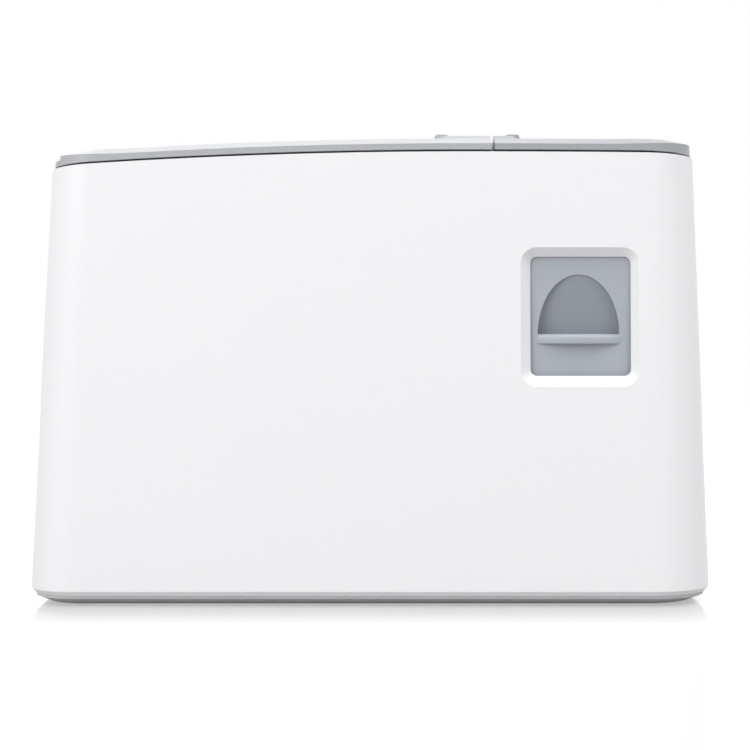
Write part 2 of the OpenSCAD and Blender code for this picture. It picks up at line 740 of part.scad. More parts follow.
// Release lever with its finger scoop and ledge, drawn for the +X side
module lever() {
  low = window_z - window_h / 2 - lever_travel - 1;
  scoop_r = window_w / 2 - 2.8;
  ledge_z = window_z - 5.3;
  ledge_r = 34.9;
  difference() {
    box(tile_out - tile_t, tile_out, window_y - window_w / 2 - 1.5, window_y + window_w / 2 + 1.5,
      low, window_z + window_h / 2 + 1);
    rod_x(scoop_r, tile_out - 3, tile_out + 1, window_y, ledge_z + 18.7 - scoop_r);
    box(tile_out - 3, tile_out + 1, window_y - scoop_r, window_y + scoop_r,
      ledge_z, ledge_z + 18.7 - scoop_r);
  }
  intersection() {
    translate([tile_out + 2.7 - ledge_r, window_y, ledge_z - 3]) cylinder(r = ledge_r, h = 3);
    box(tile_out - 3.2, tile_out + 4, window_y - 13.4, window_y + 13.4, 0, 200);
  }
  box(tile_out - tile_t - 3.5, tile_out - tile_t + 0.5, window_y - 5, window_y + 5, 40, low + 12);
  box(latch_in + 0.3, tile_out - tile_t + 0.5, finger_y - 1, finger_y + 2, finger_z - 4, finger_z);
  box(tile_out - tile_t - 3, tile_out - tile_t + 0.5, window_y, finger_y, finger_z - 4, finger_z);
}

module lever_right() color([0.68, 0.7, 0.72]) lever();
module lever_left() color([0.68, 0.7, 0.72]) mirror([1, 0, 0]) lever();

stem_x = tile_out - tile_t - 1.5;
guide_floor = 10;

module lever_spring() {
  translate([stem_x, window_y, guide_floor]) coil(1.6, 0.45, 40 - guide_floor - 0.1, 7);
}

module lever_spring_right() color("silver") lever_spring();
module lever_spring_left() color("silver") mirror([1, 0, 0]) lever_spring();

// Upright channels that the levers slide in
module lever_guides() color([0.22, 0.22, 0.23]) each_side() difference() {
  box(stem_x - 4, stem_x + 3.6, window_y - 7.5, window_y + 7.5, foot_h + floor_t, 54);
  box(stem_x - 2.3, stem_x + 2.3, window_y - 5.3, window_y + 5.3, guide_floor, 60);
}

module latch() {
  nose_y = platen_y - bush_r - 0.75;
  difference() {
    along_x(latch_t, latch_in + latch_t / 2) {
      polygon([
        [latch_y - 4, latch_z + 2], [latch_y + 1, latch_z - 4.5], [finger_y + 3, finger_z + 0.5],
        [finger_y + 3, finger_z + 4], [latch_y + 9, latch_z + 3], [nose_y - 5, platen_z - 3],
        [nose_y - 2.5, platen_z + 3], [nose_y, platen_z + 4.5], [nose_y - 1.5, platen_z + 6],
        [nose_y - 6, platen_z + 5]
      ]);
      translate([latch_y, latch_z]) circle(4.5);
    }
    rod_x(1.5 + run, latch_in - 1, latch_in + latch_t + 1, latch_y, latch_z);
  }
}

module latch_right() color("gold") latch();
module latch_left() color("gold") mirror([1, 0, 0]) latch();

module latch_posts() color("silver") each_side() {
  rod_x(1.5, plate_in - 0.5, latch_in + latch_t + 1, latch_y, latch_z);
  rod_x(3, plate_in + plate_t, latch_in - 0.2, latch_y, latch_z);
  rod_x(2.6, latch_in + latch_t + 0.3, latch_in + latch_t + 1.2, latch_y, latch_z);
}

board_top = port_z - 7;

module main_board() color([0.1, 0.35, 0.2]) {
  difference() {
    box(-45, 45, 12, 100, board_top - 1.6, board_top);
    box(-46, -30, 78, 101, 0, 30);
    for (x = standoff_xs, y = standoff_ys) translate([x, y, 0]) cylinder(r = 1.5, h = 30);
  }
  for (part = [[-30, 40, 22, 22, 2.4], [4, 30, 16, 16, 2], [-20, 74, 12, 8, 3], [26, 60, 9, 14, 4]])
    box(part[0], part[0] + part[2], part[1], part[1] + part[3], board_top - 0.1, board_top + part[4]);
  for (x = [-24, -12]) translate([x, 90, board_top - 0.1]) cylinder(r = 4, h = 7);
  box(-21, 21, 12.5, 18, board_top - 0.1, board_top + 3.4);
}

module standoffs() color("goldenrod")
  for (x = standoff_xs, y = standoff_ys) translate([x, y, foot_h + floor_t]) {
    cylinder(r = 3, h = board_top - 1.6 - foot_h - floor_t);
    cylinder(r = 1.45, h = board_top + 0.6 - foot_h - floor_t);
    translate([0, 0, board_top - foot_h - floor_t]) cylinder(r = 2.6, h = 1.2);
  }

module power_supply() color([0.6, 0.61, 0.63]) difference() {
  box(-50, 50, -case_d / 2 + 12, -case_d / 2 + 46, foot_h + floor_t, 36);
  for (i = [-7 : 7])
    box(i * 6 - 1.5, i * 6 + 1.5, -case_d / 2 + 16, -case_d / 2 + 42, 34, 40);
}

back_y = rear_y(port_z) - wall;

module mains_inlet() color([0.12, 0.12, 0.13]) difference() {
  union() {
    box(-55.8, -32.2, back_y - 18, back_y + wall - 1, port_z - 8.8, port_z + 8.8);
    box(-57, -31, back_y - 18, back_y - 2.4, port_z - 10, port_z + 10);
  }
  translate([-44, back_y + wall, port_z]) rotate([90, 0, 0]) {
    for (s = [-1, 1]) translate([s * 4.3, 0, 0]) cylinder(r = 5.2, h = 14);
    translate([-4.3, -5.2, 0]) cube([8.6, 10.4, 14]);
  }
}

module inlet_pins() color("silver")
  for (s = [-1, 1]) translate([-44 + s * 4.3, back_y + wall - 3, port_z]) rotate([90, 0, 0])
    cylinder(r = 1.2, h = 11);

// Port shell along Y with a socket in its rear face
module port(x0, x1, height, socket_w, socket_h) {
  mid = (x0 + x1) / 2;
  difference() {
    box(x0, x1, back_y - 14, back_y + wall - 1.2, board_top, board_top + height);
    box(mid - socket_w / 2, mid + socket_w / 2, back_y - 8, back_y + wall,
      board_top + (height - socket_h) / 2, board_top + (height + socket_h) / 2);
  }
}

module usb_port() color("silver") {
  port(14.2, 26.8, 11.8, 8.6, 7.8);
  box(17.9, 23.1, back_y - 9, back_y, board_top + 4.4, board_top + 7.4);
}

module network_port() color("silver") port(28.2, 44.8, 13.8, 12, 9);

// Flat two-core lead from the mains inlet, under the main board, to the power supply
module power_leads() color([0.15, 0.15, 0.16]) along_x(5, -44) {
  t = 1.8;
  low = 6.5;
  far = back_y - 24;
  near = -case_d / 2 + 52;
  polygon([
    [back_y - 18, 18], [far - t, 18], [far - t, low + t], [near + t, low + t],
    [near + t, 14], [-case_d / 2 + 46, 14], [-case_d / 2 + 46, 14 - t], [near, 14 - t],
    [near, low], [far, low], [far, 18 - t], [back_y - 18, 18 - t]
  ]);
}

outer_case();
base_tray();
rubber_feet();
case_screws();
roll_cover();
cover_liner();
liner_screws();
front_cover();
tear_bar();
power_button();
feed_button();
status_lights();
control_board();
board_screws();
side_plate_left();
side_plate_right();
frame_screws();
cross_plate();
inner_frame();
label_guide();
label_sensor();
hinge_pins();
label_roll();
spool_core();
spool_flange_left();
spool_flange_right();
platen_shaft();
platen_roller();
platen_gear();
platen_bushes();
idler_gear();
idler_post();
feed_motor();
motor_pinion();
motor_screws();
print_head();
head_bracket();
head_pivot();
head_springs();
head_cable();
lever_left();
lever_right();
lever_spring_left();
lever_spring_right();
lever_guides();
latch_left();
latch_right();
latch_posts();
main_board();
standoffs();
power_supply();
mains_inlet();
inlet_pins();
usb_port();
network_port();
power_leads();
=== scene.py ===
import json
import math
import bpy
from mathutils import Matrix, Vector

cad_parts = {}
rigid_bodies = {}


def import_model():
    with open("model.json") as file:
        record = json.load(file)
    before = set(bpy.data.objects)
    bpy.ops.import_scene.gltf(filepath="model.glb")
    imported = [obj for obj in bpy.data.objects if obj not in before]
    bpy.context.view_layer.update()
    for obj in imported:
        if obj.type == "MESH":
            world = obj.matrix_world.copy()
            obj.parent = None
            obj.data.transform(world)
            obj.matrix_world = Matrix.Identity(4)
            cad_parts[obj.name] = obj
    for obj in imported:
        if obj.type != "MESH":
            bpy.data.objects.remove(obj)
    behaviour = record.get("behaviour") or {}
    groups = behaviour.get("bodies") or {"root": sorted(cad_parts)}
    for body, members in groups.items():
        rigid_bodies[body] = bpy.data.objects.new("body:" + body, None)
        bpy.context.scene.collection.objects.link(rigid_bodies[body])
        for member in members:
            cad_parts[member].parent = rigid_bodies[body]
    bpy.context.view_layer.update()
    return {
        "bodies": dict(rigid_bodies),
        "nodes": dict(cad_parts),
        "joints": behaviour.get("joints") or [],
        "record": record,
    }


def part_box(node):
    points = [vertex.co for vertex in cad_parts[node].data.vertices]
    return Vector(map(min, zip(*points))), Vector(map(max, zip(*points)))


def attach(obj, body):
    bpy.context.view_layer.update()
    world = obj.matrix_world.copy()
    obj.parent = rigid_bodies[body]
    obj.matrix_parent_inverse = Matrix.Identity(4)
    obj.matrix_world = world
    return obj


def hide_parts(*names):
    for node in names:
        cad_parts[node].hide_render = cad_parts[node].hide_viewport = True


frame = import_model()
mm = 0.001
print("frame loaded")

# the case leans in on every side; lengths in mm, leans in degrees
caseSpec = {
    "wall": 2.5, "sideLean": 1.5, "rearLean": 2.6, "frontLean": 2.0, "leanFrom": 5.5,
    "rearCorner": 14.0, "frontCorner": 19.0, "bow": 2.5, "skirt": 0.7, "lip": 1.6, "lipInset": 1.2,
    "seamTop": 142.2, "crestY": -30.0, "rearCrown": 1826.0, "frontCrown": 5200.0, "seamDrop": 0.1,
    "edgeRound": 0.45, "columns": 10,
}
coverSpec = {
    "inset": 0.6, "rise": 4.75, "roof": 2.4, "shoulder": 5.0, "shoulderDrop": 2.2,
    "splitGap": 1.0, "mouth": 4.8, "mouthHalf": 54.0, "edgeRound": 0.55,
    "rimHeight": 1.2, "rimWidth": 5.0, "rimInset": 6.5, "rimSlope": 1.7, "rimCorner": 4,
    "rimFront": 9.3, "rimRear": 18.3, "hollowFront": 4.5, "hollowRear": 13.3, "hollowCorner": 2.5,
    "railHeight": 0.6, "railCorner": 1.4, "railRound": 0.45,
    "endFrom": 72, "endRise": 1.6, "endReach": 30, "seamLift": 0.65, "ribStep": 6,
}

caseLow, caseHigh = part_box("outer_case")
halfFoot = caseHigh[0] / mm
rearFoot = caseHigh[1] / mm
splitY = 0.5 * (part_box("roll_cover")[0][1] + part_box("front_cover")[1][1]) / mm
pinLow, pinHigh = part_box("hinge_pins")
hingeY = 0.5 * (pinLow[1] + pinHigh[1]) / mm
hingeZ = 0.5 * (pinLow[2] + pinHigh[2]) / mm


def leanIn(angle, z):
    return math.tan(math.radians(angle)) * (z - caseSpec["leanFrom"])


def halfWidth(z):
    return halfFoot - leanIn(caseSpec["sideLean"], z)


def rearAt(z):
    return rearFoot - leanIn(caseSpec["rearLean"], z)


def frontAt(z):
    return leanIn(caseSpec["frontLean"], z) - rearFoot


def seamAt(y):
    crown = caseSpec["rearCrown"] if y > caseSpec["crestY"] else caseSpec["frontCrown"]
    return caseSpec["seamTop"] - (y - caseSpec["crestY"]) ** 2 / (2 * crown)


def roofAt(y):
    return seamAt(y) + coverSpec["rise"]


# small tools for modelling

def dropSelection():
    if bpy.context.object and bpy.context.object.mode != "OBJECT":
        bpy.ops.object.mode_set(mode="OBJECT")
    bpy.ops.object.select_all(action="DESELECT")


def makeActive(piece):
    dropSelection()
    piece.select_set(True)
    bpy.context.view_layer.objects.active = piece


def settle(piece, name):
    # place and size go into the mesh, in metres
    piece.name = name
    piece.data.name = name
    makeActive(piece)
    bpy.ops.object.transform_apply(location=True, rotation=True, scale=True)
    return piece


def addBlock(name, low, high):
    dropSelection()
    middle = [(a + b) / 2 * mm for a, b in zip(low, high)]
    bpy.ops.mesh.primitive_cube_add(size=1, location=middle)
    bpy.context.object.scale = [(b - a) * mm for a, b in zip(low, high)]
    return settle(bpy.context.object, name)


def addRod(name, radius, start, end, sides=64):
    dropSelection()
    a = Vector(start) * mm
    b = Vector(end) * mm
    bpy.ops.mesh.primitive_cylinder_add(vertices=sides, radius=radius * mm, depth=(b - a).length,
                                        location=(a + b) / 2)
    bpy.context.object.rotation_euler = (b - a).to_track_quat("Z", "Y").to_euler()
    return settle(bpy.context.object, name)


def choose(piece, kind, test):
    # picks corners, edges or faces by their place in mm, and stays in edit mode
    makeActive(piece)
    bpy.ops.object.mode_set(mode="EDIT")
    bpy.ops.mesh.select_mode(type=kind)
    bpy.ops.mesh.select_all(action="DESELECT")
    bpy.ops.object.mode_set(mode="OBJECT")
    mesh = piece.data
    spots = [v.co / mm for v in mesh.vertices]
    count = 0
    if kind == "VERT":
        for v in mesh.vertices:
            v.select = bool(test(spots[v.index]))
            count += v.select
    elif kind == "EDGE":
        for e in mesh.edges:
            e.select = bool(test(spots[e.vertices[0]], spots[e.vertices[1]]))
            count += e.select
    else:
        for f in mesh.polygons:
            f.select = bool(test(f.center / mm, f.normal))
            count += f.select
    bpy.ops.object.mode_set(mode="EDIT")
    return count


def doneEditing():
    bpy.ops.object.mode_set(mode="OBJECT")


def move(x=0.0, y=0.0, z=0.0):
    bpy.ops.transform.translate(value=(x * mm, y * mm, z * mm))


def pushOut(z):
    bpy.ops.mesh.extrude_region_move(TRANSFORM_OT_translate={"value": (0, 0, z * mm)})


def resize(x, y, z, centre):
    bpy.ops.transform.resize(value=(x, y, z), center_override=[c * mm for c in centre])


def slicePiece(piece, axis, places):
    makeActive(piece)
    bpy.ops.object.mode_set(mode="EDIT")
    for place in places:
        bpy.ops.mesh.select_all(action="SELECT")
        spot = [0.0, 0.0, 0.0]
        normal = [0.0, 0.0, 0.0]
        spot[axis] = place * mm
        normal[axis] = 1.0
        bpy.ops.mesh.bisect(plane_co=spot, plane_no=normal)
    doneEditing()


def bevelEdges(piece, test, width, steps=4):
    if choose(piece, "EDGE", test):
        bpy.ops.mesh.bevel(offset=width * mm, offset_type="OFFSET", segments=steps, affect="EDGES",
                           clamp_overlap=True)
    doneEditing()


def combine(piece, tool, how):
    # how is DIFFERENCE, UNION or INTERSECT; the tool is used up
    makeActive(piece)
    change = piece.modifiers.new(how.lower(), "BOOLEAN")
    change.operation = how
    change.solver = "EXACT"
    change.object = tool
    bpy.ops.object.modifier_apply(modifier=change.name)
    bpy.data.objects.remove(tool, do_unlink=True)
    return piece


def cutAway(piece, tool):
    return combine(piece, tool, "DIFFERENCE")


def mergeIn(piece, tool):
    return combine(piece, tool, "UNION")


def tidyMesh(piece):
    makeActive(piece)
    bpy.ops.object.mode_set(mode="EDIT")
    bpy.ops.mesh.select_all(action="SELECT")
    bpy.ops.mesh.remove_doubles(threshold=0.00001)
    bpy.ops.mesh.dissolve_limited(angle_limit=math.radians(0.05))
    bpy.ops.mesh.normals_make_consistent(inside=False)
    doneEditing()


def softenEdges(piece, width, steps=3, angle=32, shade=38):
    # rounded edges and clean shading on the flats
    tidyMesh(piece)
    edge = piece.modifiers.new("edge", "BEVEL")
    edge.width = width * mm
    edge.segments = steps
    edge.limit_method = "ANGLE"
    edge.angle_limit = math.radians(angle)
    edge.use_clamp_overlap = True
    edge.miter_outer = "MITER_ARC"
    bpy.ops.object.modifier_apply(modifier=edge.name)
    shadeClean(piece, shade)


def shadeClean(piece, shade=38):
    makeActive(piece)
    bpy.ops.object.shade_smooth_by_angle(angle=math.radians(shade))
    weigh = piece.modifiers.new("weigh", "WEIGHTED_NORMAL")
    weigh.keep_sharp = True
    weigh.weight = 80
    bpy.ops.object.modifier_apply(modifier=weigh.name)


def mirrored(piece, name):
    dropSelection()
    twin = piece.copy()
    twin.data = piece.data.copy()
    bpy.context.collection.objects.link(twin)
    twin.scale = (-1, 1, 1)
    settle(twin, name)
    bpy.ops.object.mode_set(mode="EDIT")
    bpy.ops.mesh.select_all(action="SELECT")
    bpy.ops.mesh.normals_make_consistent(inside=False)
    doneEditing()
    shadeClean(twin)
    return twin


# forms that the case and covers share

def near(a, b, slack=0.02):
    return abs(a - b) < slack


def taperedBlock(name, z0, z1, inset):
    # prism with round corners, bowed front and rear, and leaning walls
    w = halfWidth(z0) - inset
    yf, yr = frontAt(z0) + inset, rearAt(z0) - inset
    block = addBlock(name, (-w, yf, z0), (w, yr, z1))
    reach = w - caseSpec["frontCorner"] - 2
    count = caseSpec["columns"]
    columns = [-reach + 2 * reach * k / count for k in range(count + 1)]
    slicePiece(block, 0, columns)
    for x in [-w] + columns + [w]:
        sag = caseSpec["bow"] * (x / w) ** 2
        choose(block, "VERT", lambda p: near(p.x, x) and p.y > 0)
        move(y=-sag)
        choose(block, "VERT", lambda p: near(p.x, x) and p.y < 0)
        move(y=sag)
    upright = lambda a, b: near(a.x, b.x) and near(a.y, b.y) and near(abs(a.x), w)
    bevelEdges(block, lambda a, b: upright(a, b) and a.y > 0, caseSpec["rearCorner"] - inset, 14)
    bevelEdges(block, lambda a, b: upright(a, b) and a.y < 0, caseSpec["frontCorner"] - inset, 16)
    topFront, topRear = frontAt(z1) + inset, rearAt(z1) - inset
    squeeze = (topRear - topFront) / (yr - yf)
    choose(block, "VERT", lambda p: near(p.z, z1))
    resize((halfWidth(z1) - inset) / w, squeeze, 1, (0, 0, z1))
    move(y=topRear - squeeze * yr)
    doneEditing()
    return block


def curvedSlab(name, y0, y1, low, high, half):
    # slab between two heights above the joint
    slab = addBlock(name, (-half, y0, 0), (half, y1, 10))
    steps = max(6, int((y1 - y0) / 6))
    rows = [y0 + (y1 - y0) * k / steps for k in range(steps + 1)]
    slicePiece(slab, 1, rows[1:-1])
    for y in rows:
        choose(slab, "VERT", lambda p: near(p.y, y) and near(p.z, 0))
        move(z=seamAt(y) + low)
        choose(slab, "VERT", lambda p: near(p.y, y) and near(p.z, 10))
        move(z=seamAt(y) + high - 10)
    doneEditing()
    return slab


def hingeRoll(name, gap):
    # rod round the hinge that the rear edge of the roll cover turns in
    top = caseSpec["seamTop"]
    w = halfWidth(top)
    edge = rearAt(top) - coverSpec["inset"] - hingeY
    straight = w - caseSpec["rearCorner"]
    reach = straight + 7
    roll = addRod(name, edge + gap, (-reach, hingeY, hingeZ), (reach, hingeY, hingeZ), 48)
    places = [straight * k / 5 for k in range(-5, 6)]
    slicePiece(roll, 0, places + [-straight - 4, straight + 4])
    for x in places + [-straight - 4, straight + 4, -reach, reach]:
        over = max(0.0, abs(x) - straight)
        shrink = caseSpec["bow"] * (min(abs(x), straight) / w) ** 2
        shrink += caseSpec["rearCorner"] - math.sqrt(caseSpec["rearCorner"] ** 2 - over ** 2)
        part = max(0.4, edge - shrink + gap) / (edge + gap)
        choose(roll, "VERT", lambda p: near(p.x, x))
        resize(1, part, part, (x, hingeY, hingeZ))
    doneEditing()
    return roll


# white case

windowSpec = {
    "width": 31.2, "height": 37.1, "frameWidth": 36.9, "frameHeight": 43.5, "corner": 2.0,
    "middleZ": 90.3, "fromSplit": 26.8, "depth": 2.6, "frameCorner": 5.0,
    "holeShift": 0.55, "holeRise": 0.33,
}
windowY = splitY - windowSpec["fromSplit"]


def roundedPrism(name, low, high, corner, steps):
    # block with four round corners round the X axis
    prism = addBlock(name, low, high)
    bevelEdges(prism, lambda a, b: abs(a.x - b.x) > 0.5, corner, steps)
    return prism


def openEnd(piece, x):
    choose(piece, "FACE", lambda c, n: near(c.x, x) and abs(n.x) > 0.9)
    bpy.ops.mesh.delete(type="FACE")
    doneEditing()


def windowCutter(name):
    # opening for the lever with a sloped frame round it, on the -X side
    spec = windowSpec
    z = spec["middleZ"]
    x = -halfWidth(z)
    hw, hh = spec["width"] / 2, spec["height"] / 2
    fw, fh = spec["frameWidth"] / 2, spec["frameHeight"] / 2
    inner = x + spec["depth"]
    frame = roundedPrism(name, (x - 2, windowY - fw, z - fh), (x, windowY + fw, z + fh),
                         spec["frameCorner"], 10)
    holeY, holeZ = windowY - spec["holeShift"], z + spec["holeRise"]
    hole = roundedPrism(name + "Hole", (inner, holeY - hw, holeZ - hh), (x + 9, holeY + hw, holeZ + hh),
                        spec["corner"], 10)
    openEnd(frame, x)
    openEnd(hole, inner)
    makeActive(frame)
    hole.select_set(True)
    bpy.ops.object.join()
    choose(frame, "EDGE", lambda a, b: any(near(a.x, at) and near(b.x, at) for at in (x, inner)))
    bpy.ops.mesh.bridge_edge_loops()
    bpy.ops.mesh.select_all(action="SELECT")
    bpy.ops.mesh.normals_make_consistent(inside=False)
    # the frame leans with the wall
    bpy.ops.transform.rotate(value=math.radians(-caseSpec["sideLean"]), orient_axis="Y",
                             center_override=(x * mm, windowY * mm, z * mm))
    doneEditing()
    return frame


def buildCase():
    spec = caseSpec
    shell = taperedBlock("caseShell", spec["leanFrom"], spec["seamTop"] + 6, 0)
    # the lower edge goes straight down, then turns in
    choose(shell, "FACE", lambda c, n: n.z < -0.9)
    pushOut(-spec["skirt"])
    pushOut(-spec["lip"])
    part = [(s - spec["lipInset"]) / s for s in (halfFoot, rearFoot)]
    resize(part[0], part[1], 1, (0, 0, 0))
    doneEditing()
    cutAway(shell, taperedBlock("caseHollow", spec["leanFrom"] - 4, spec["seamTop"] + 8, spec["wall"]))
    cutAway(shell, curvedSlab("aboveSeam", -130, 130, -spec["seamDrop"], 40, 110))
    cutAway(shell, hingeRoll("hingeClearance", 0.35))
    cutter = windowCutter("windowLeft")
    other = mirrored(cutter, "windowRight")
    cutAway(shell, cutter)
    cutAway(shell, other)
    for node, grow in (("mains_inlet", -0.9), ("usb_port", 0.4), ("network_port", 0.4)):
        low, high = (Vector(c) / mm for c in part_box(node))
        cutAway(shell, addBlock(node + "Hole", (low.x - grow, rearFoot - 14, low.z - grow),
                                (high.x + grow, rearFoot + 8, high.z + grow)))
    softenEdges(shell, spec["edgeRound"])
    return shell


# grey covers

def exitRim(name, y0, y1):
    # half of the raised rim round the label exit
    spec = coverSpec
    w = halfWidth(caseSpec["seamTop"]) - spec["rimInset"]
    top = roofAt(caseSpec["crestY"]) + spec["rimHeight"]
    slope = spec["rimSlope"]
    rim = addBlock(name, (-w, y0, caseSpec["seamTop"] + 1), (w, y1, top - slope))
    upright = lambda a, b: near(a.x, b.x) and near(a.y, b.y)
    outer = y1 if y1 > splitY + 5 else y0
    bevelEdges(rim, lambda a, b: upright(a, b) and near(a.y, outer), spec["rimCorner"], 8)
    choose(rim, "FACE", lambda c, n: n.z > 0.9)
    pushOut(slope)
    resize(1 - slope / w, 1, 1, (0, 0, 0))
    doneEditing()
    inside = spec["hollowFront"] if outer == y0 else spec["hollowRear"]
    ends = (splitY - inside, splitY + 3) if outer == y0 else (splitY - 3, splitY + inside)
    hollow = addBlock(name + "Hollow", (-w + spec["rimWidth"], ends[0], caseSpec["seamTop"] - 5),
                      (w - spec["rimWidth"], ends[1], top + 5))
    bevelEdges(hollow, lambda a, b: upright(a, b) and abs(a.y - splitY) > 4, spec["hollowCorner"], 6)
    cutAway(rim, hollow)
    # the cross rails stand a little higher than the side rails
    back = outer - spec["rimWidth"] if outer > splitY else outer + spec["rimWidth"]
    reach = w - slope - 0.2
    rail = addBlock(name + "Rail", (-reach, min(outer, back) + 0.5, top - 1),
                    (reach, max(outer, back) - 0.3, top + spec["railHeight"]))
    bevelEdges(rail, upright, spec["railCorner"], 6)
    bevelEdges(rail, lambda a, b: a.z > top and b.z > top, spec["railRound"], 3)
    return mergeIn(rim, rail)


def coverForm(name):
    # outline of both covers with a sloped edge all round, bent to follow the joint
    spec = coverSpec
    top = caseSpec["seamTop"]
    form = taperedBlock(name, top - 22, top + spec["rise"] - spec["shoulderDrop"], spec["inset"])
    choose(form, "FACE", lambda c, n: n.z > 0.9)
    pushOut(spec["shoulderDrop"])
    w = halfWidth(top) - spec["inset"]
    d = (rearAt(top) - frontAt(top)) / 2 - spec["inset"]
    middle = (rearAt(top) + frontAt(top)) / 2
    resize(1 - spec["shoulder"] / w, 1 - spec["shoulder"] / d, 1, (0, middle, top))
    doneEditing()
    slicePiece(form, 1, range(-102, 102, spec["ribStep"]))
    for y in sorted({round(v.co.y / mm, 2) for v in form.data.vertices}):
        choose(form, "VERT", lambda p: near(round(p.y, 2), y, 0.005))
        move(z=seamAt(y) - top)
        # the sloped edge drops less than the joint does at both ends
        over = max(0, abs(y) - spec["endFrom"])
        choose(form, "VERT", lambda p: near(round(p.y, 2), y, 0.005) and p.z > seamAt(y))
        move(z=spec["endRise"] * (over / spec["endReach"]) ** 2)
    doneEditing()
    return form


def buildCover(name, y0, y1, mouthEdge):
    # shallow pan between two depths, hollow below, with its half of the rim and of the mouth
    spec = coverSpec
    top = caseSpec["seamTop"]
    roofHalf = halfWidth(top) - spec["inset"]
    cover = coverForm(name)
    combine(cover, curvedSlab(name + "Slab", y0, y1, spec["seamLift"], spec["rise"] + 3, roofHalf + 4),
            "INTERSECT")
    rear = y1 > 0
    rimY = (y0, splitY + spec["rimRear"]) if rear else (splitY - spec["rimFront"], y1)
    mergeIn(cover, exitRim(name + "Rim", *rimY))
    inner = taperedBlock(name + "Inner", top - 24, top + 14, spec["inset"] + 2)
    combine(inner, curvedSlab(name + "InnerSlab", y0 + 2, y1 - 2, -8, spec["rise"] - spec["roof"],
                              roofHalf - spec["shoulder"] - 1), "INTERSECT")
    cutAway(cover, inner)
    mouth = addBlock(name + "Mouth", (-spec["mouthHalf"], min(mouthEdge, splitY), top - 6),
                     (spec["mouthHalf"], max(mouthEdge, splitY), top + 20))
    cutAway(cover, mouth)
    return cover


def buildRollCover():
    spec = coverSpec
    top = caseSpec["seamTop"]
    y0 = splitY + spec["splitGap"] / 2
    cover = buildCover("rollCoverShell", y0, rearFoot, splitY + spec["mouth"])
    behind = addBlock("behindHinge", (-halfWidth(top) + 3.5, hingeY, top - 20),
                      (halfWidth(top) - 3.5, rearFoot + 10, top + 20))
    cutAway(behind, hingeRoll("rearRoll", 0))
    cutAway(cover, behind)
    for node in ("side_plate_left", "side_plate_right"):
        low, high = (Vector(c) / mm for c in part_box(node))
        x = high.x - 1.5 if high.x < 0 else low.x
        pocket = addRod("eyePocket", 2.6, (x - 3, hingeY, hingeZ), (x + 4, hingeY, hingeZ), 48)
        mergeIn(pocket, addBlock("pocketBelow", (x - 3, hingeY - 3.2, hingeZ - 4),
                                 (x + 4, hingeY + 3.2, hingeZ - 0.8)))
        mergeIn(pocket, addBlock("pocketFront", (x - 3, hingeY - 3.2, hingeZ - 3.9),
                                 (x + 4, hingeY, hingeZ + 2.2)))
        cutAway(cover, pocket)
    softenEdges(cover, spec["edgeRound"], shade=20)
    return cover


buttonSpec = {"x": 50.0, "y": -77.0, "radius": 6.0, "gap": 0.3, "lightX": 5.0, "lightRadius": 1.6}


def buildFrontCover():
    spec = coverSpec
    y1 = splitY - spec["splitGap"] / 2
    cover = buildCover("frontCoverShell", -rearFoot, y1, splitY - 1)
    for x in (-buttonSpec["x"], buttonSpec["x"]):
        cutAway(cover, addRod("buttonHole", buttonSpec["radius"] + buttonSpec["gap"],
                              (x, buttonSpec["y"], 130), (x, buttonSpec["y"], 160), 64))
    for x in (-buttonSpec["lightX"], buttonSpec["lightX"]):
        cutAway(cover, addRod("lightHole", buttonSpec["lightRadius"],
                              (x, buttonSpec["y"], 130), (x, buttonSpec["y"], 160), 32))
    softenEdges(cover, spec["edgeRound"], shade=20)
    return cover


# dark tray under the case

traySpec = {"bottom": 0.5, "top": 3.1, "topInset": 1.7, "bottomInset": 5.6, "floor": 1.6}


def buildTray():
    spec = traySpec
    tray = taperedBlock("trayShell", spec["top"] - 0.6, spec["top"], spec["topInset"])
    choose(tray, "FACE", lambda c, n: n.z < -0.9)
    pushOut(spec["bottom"] - spec["top"] + 0.6)
    shrink = spec["bottomInset"] - spec["topInset"]
    resize(1 - shrink / halfFoot, 1 - shrink / rearFoot, 1, (0, 0, 0))
    doneEditing()
    cutAway(tray, addBlock("trayHollow", (8 - halfFoot, 10 - rearFoot, spec["bottom"] + spec["floor"]),
                           (halfFoot - 8, rearFoot - 10, 20)))
    for k in range(-4, 5):
        slot = addBlock("trayVent", (k * 9 - 2, -70, -5), (k * 9 + 2, -40, 9))
        bevelEdges(slot, lambda a, b: near(a.x, b.x) and near(a.y, b.y), 1.9, 5)
        cutAway(tray, slot)
    for x in (14 - halfFoot, halfFoot - 14):
        for y in (24 - rearFoot, rearFoot - 24):
            cutAway(tray, addRod("screwWell", 3.4, (x, y, -1), (x, y, 1.7), 40))
            cutAway(tray, addRod("screwHole", 1.7, (x, y, -1), (x, y, 9), 32))
    softenEdges(tray, 0.4)
    return tray


# release lever, with its finger scoop and ledge

leverSpec = {
    "tile": 4.5, "scoopDepth": 4.0, "scoopShallow": 0.2, "scoopHalf": 12.8, "scoopTop": 18.7,
    "ledge": 3.2, "ledgeReach": 2.7, "ledgeHalf": 13.4, "ledgeRound": 1.5, "edgeRound": 0.35,
}


